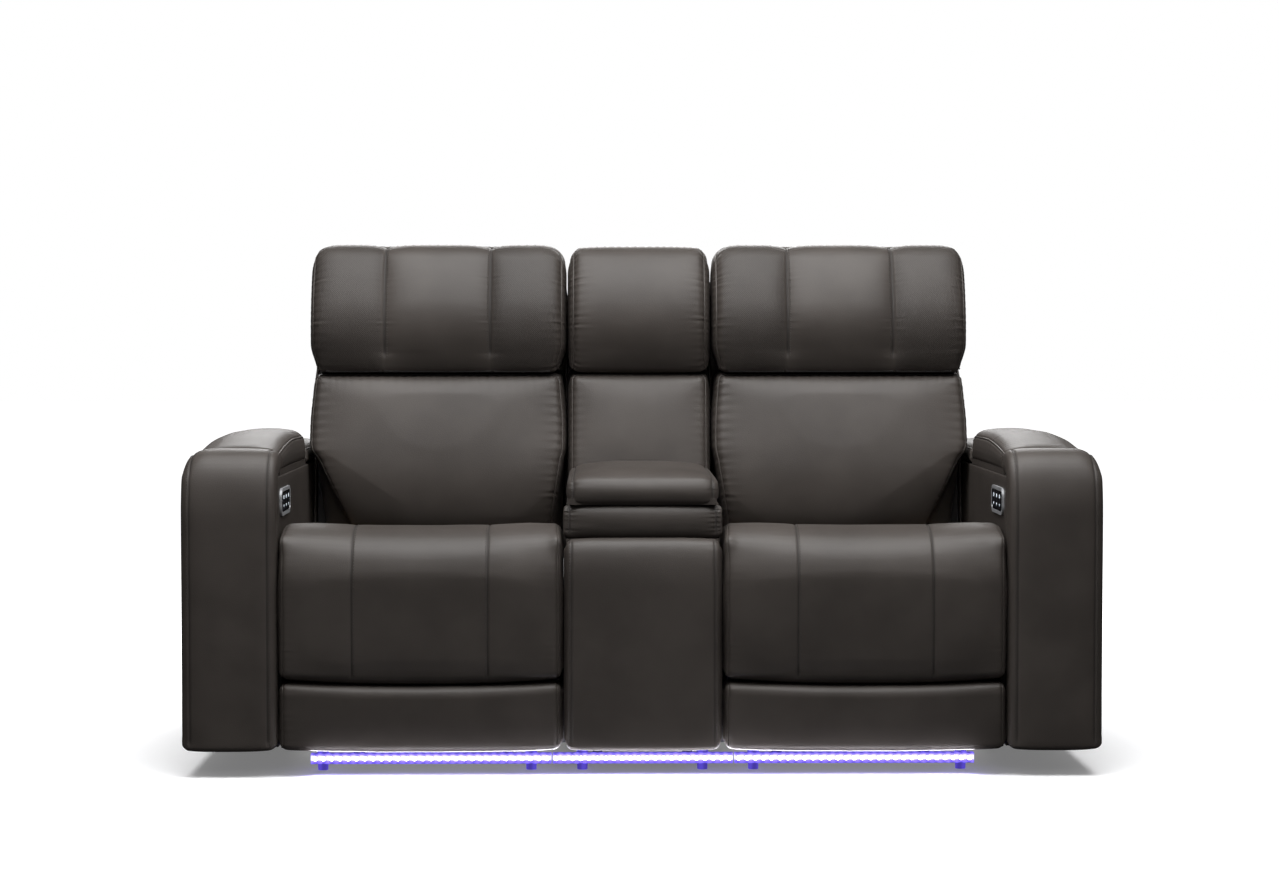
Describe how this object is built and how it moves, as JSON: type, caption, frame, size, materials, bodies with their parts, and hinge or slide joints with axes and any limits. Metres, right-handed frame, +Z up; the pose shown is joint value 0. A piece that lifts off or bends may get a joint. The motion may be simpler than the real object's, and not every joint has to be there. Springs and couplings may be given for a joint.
{
  "type": "two-seat power recliner",
  "caption": "Leather two-seat power recliner with padded arms, storage console, tilting headrests, folding footrests and a light strip at the base.",
  "frame": {"origin": "on the floor, under the centre of the seat's outer box at rest", "axes": "+X to the viewer's right as seen from the front, along the seat row; +Y from the front to the rear; +Z up"},
  "size_m": [1.85, 0.95, 1.09],
  "materials": {
    "leather": "satin grained leather",
    "plywood": "raw plywood",
    "steel": "black powder coat",
    "chrome": "polished",
    "black_plastic": "moulded",
    "gloss_panel": "glossy blue-black",
    "rocker_plastic": "satin blue-black",
    "light_lens": "clear lens over a white and violet light"
  },
  "bodies": {
    "root": {"base_frame": "steel", "feet": "black_plastic", "left_arm_box": "plywood", "right_arm_box": "plywood", "left_arm_fascia": "leather", "right_arm_fascia": "leather", "left_arm_cover": "leather", "right_arm_cover": "leather", "console_box": "plywood", "console_front_pad": "leather", "console_band_pad": "leather", "centre_back_frame": "plywood", "centre_back_cushion": "leather", "centre_head_cushion": "leather", "light_channels": "black_plastic", "light_beads": "light_lens", "power_inlet": "black_plastic", "switch_bezels": "chrome", "switch_plates": "gloss_panel", "lid_hinges": "steel"},
    "left_seat": {"left_seat_frame": "plywood", "left_seat_springs": "steel", "left_seat_cushion": "leather", "left_seat_motors": "black_plastic"},
    "left_footrest": {"left_footrest_board": "plywood", "left_footrest_pad": "leather", "left_footrest_flap": "leather"},
    "left_torque_link": {"left_torque_links": "steel"},
    "left_front_link": {"left_front_links": "steel"},
    "left_back": {"left_back_frame": "plywood", "left_back_cushion": "leather", "left_back_cover": "leather"},
    "left_headrest": {"left_headrest_frame": "plywood", "left_headrest_cushion": "leather"},
    "left_arm_lid": {"left_arm_lid_board": "plywood", "left_arm_lid_pad": "leather"},
    "left_headrest_rocker": {"left_headrest_rocker": "rocker_plastic"},
    "left_back_rocker": {"left_back_rocker": "rocker_plastic"},
    "left_footrest_rocker": {"left_footrest_rocker": "rocker_plastic"},
    "right_seat": {"right_seat_frame": "plywood", "right_seat_springs": "steel", "right_seat_cushion": "leather", "right_seat_motors": "black_plastic"},
    "right_footrest": {"right_footrest_board": "plywood", "right_footrest_pad": "leather", "right_footrest_flap": "leather"},
    "right_torque_link": {"right_torque_links": "steel"},
    "right_front_link": {"right_front_links": "steel"},
    "right_back": {"right_back_frame": "plywood", "right_back_cushion": "leather", "right_back_cover": "leather"},
    "right_headrest": {"right_headrest_frame": "plywood", "right_headrest_cushion": "leather"},
    "right_arm_lid": {"right_arm_lid_board": "plywood", "right_arm_lid_pad": "leather"},
    "right_headrest_rocker": {"right_headrest_rocker": "rocker_plastic"},
    "right_back_rocker": {"right_back_rocker": "rocker_plastic"},
    "right_footrest_rocker": {"right_footrest_rocker": "rocker_plastic"},
    "console_lid": {"console_lid_board": "plywood", "console_lid_pad": "leather"}
  },
  "joints": [
    {"name": "left_seat_slide", "type": "slide", "parent": "root", "child": "left_seat", "axis": [0, -1, 0], "range_m": [0, 0.13]},
    {"name": "left_recline", "type": "hinge", "parent": "left_seat", "child": "left_back", "pos_m": [-0.4475, 0.165, 0.33], "axis": [-1, 0, 0], "range_deg": [0, 40]},
    {"name": "left_headrest_tilt", "type": "hinge", "parent": "left_back", "child": "left_headrest", "pos_m": [-0.4475, 0.129, 0.81], "axis": [1, 0, 0], "range_deg": [0, 30]},
    {"name": "left_footrest_lift", "type": "hinge", "parent": "left_seat", "child": "left_footrest", "pos_m": [-0.4475, -0.5, 0.475], "axis": [-1, 0, 0], "range_deg": [0, 90]},
    {"name": "left_torque_link_turn", "type": "hinge", "parent": "left_seat", "child": "left_torque_link", "pos_m": [-0.4475, -0.305, 0.33], "axis": [-1, 0, 0], "range_deg": [0, 90]},
    {"name": "left_front_link_turn", "type": "hinge", "parent": "left_torque_link", "child": "left_front_link", "pos_m": [-0.4475, -0.176, 0.151], "axis": [1, 0, 0], "range_deg": [0, 90]},
    {"name": "left_arm_lid_lift", "type": "hinge", "parent": "root", "child": "left_arm_lid", "pos_m": [-0.922, -0.141, 0.6058], "axis": [0, -1, 0], "range_deg": [0, 88]},
    {"name": "left_headrest_rocker_tilt", "type": "hinge", "parent": "root", "child": "left_headrest_rocker", "pos_m": [-0.7327, -0.364, 0.55], "axis": [0, 1, 0], "range_deg": [-4, 4], "stiffness_Nm_per_rad": 0.2},
    {"name": "left_back_rocker_tilt", "type": "hinge", "parent": "root", "child": "left_back_rocker", "pos_m": [-0.7327, -0.325, 0.55], "axis": [0, 1, 0], "range_deg": [-4, 4], "stiffness_Nm_per_rad": 0.2},
    {"name": "left_footrest_rocker_tilt", "type": "hinge", "parent": "root", "child": "left_footrest_rocker", "pos_m": [-0.7327, -0.286, 0.55], "axis": [0, 1, 0], "range_deg": [-4, 4], "stiffness_Nm_per_rad": 0.2},
    {"name": "right_seat_slide", "type": "slide", "parent": "root", "child": "right_seat", "axis": [0, -1, 0], "range_m": [0, 0.13]},
    {"name": "right_recline", "type": "hinge", "parent": "right_seat", "child": "right_back", "pos_m": [0.4475, 0.165, 0.33], "axis": [-1, 0, 0], "range_deg": [0, 40]},
    {"name": "right_headrest_tilt", "type": "hinge", "parent": "right_back", "child": "right_headrest", "pos_m": [0.4475, 0.129, 0.81], "axis": [1, 0, 0], "range_deg": [0, 30]},
    {"name": "right_footrest_lift", "type": "hinge", "parent": "right_seat", "child": "right_footrest", "pos_m": [0.4475, -0.5, 0.475], "axis": [-1, 0, 0], "range_deg": [0, 90]},
    {"name": "right_torque_link_turn", "type": "hinge", "parent": "right_seat", "child": "right_torque_link", "pos_m": [0.4475, -0.305, 0.33], "axis": [-1, 0, 0], "range_deg": [0, 90]},
    {"name": "right_front_link_turn", "type": "hinge", "parent": "right_torque_link", "child": "right_front_link", "pos_m": [0.4475, -0.176, 0.151], "axis": [1, 0, 0], "range_deg": [0, 90]},
    {"name": "right_arm_lid_lift", "type": "hinge", "parent": "root", "child": "right_arm_lid", "pos_m": [0.922, -0.141, 0.6058], "axis": [0, 1, 0], "range_deg": [0, 88]},
    {"name": "right_headrest_rocker_tilt", "type": "hinge", "parent": "root", "child": "right_headrest_rocker", "pos_m": [0.7327, -0.364, 0.55], "axis": [0, 1, 0], "range_deg": [-4, 4], "stiffness_Nm_per_rad": 0.2},
    {"name": "right_back_rocker_tilt", "type": "hinge", "parent": "root", "child": "right_back_rocker", "pos_m": [0.7327, -0.325, 0.55], "axis": [0, 1, 0], "range_deg": [-4, 4], "stiffness_Nm_per_rad": 0.2},
    {"name": "right_footrest_rocker_tilt", "type": "hinge", "parent": "root", "child": "right_footrest_rocker", "pos_m": [0.7327, -0.286, 0.55], "axis": [0, 1, 0], "range_deg": [-4, 4], "stiffness_Nm_per_rad": 0.2},
    {"name": "console_lid_lift", "type": "hinge", "parent": "root", "child": "console_lid", "pos_m": [0, 0.015, 0.5488], "axis": [-1, 0, 0], "range_deg": [0, 70]}
  ],
  "couplings": [
    {"joint": "left_seat_slide", "follows": "left_recline", "m_per_rad": 0.186},
    {"joint": "left_torque_link_turn", "follows": "left_footrest_lift", "ratio": 1},
    {"joint": "left_front_link_turn", "follows": "left_footrest_lift", "ratio": 1},
    {"joint": "right_seat_slide", "follows": "right_recline", "m_per_rad": 0.186},
    {"joint": "right_torque_link_turn", "follows": "right_footrest_lift", "ratio": 1},
    {"joint": "right_front_link_turn", "follows": "right_footrest_lift", "ratio": 1}
  ]
}
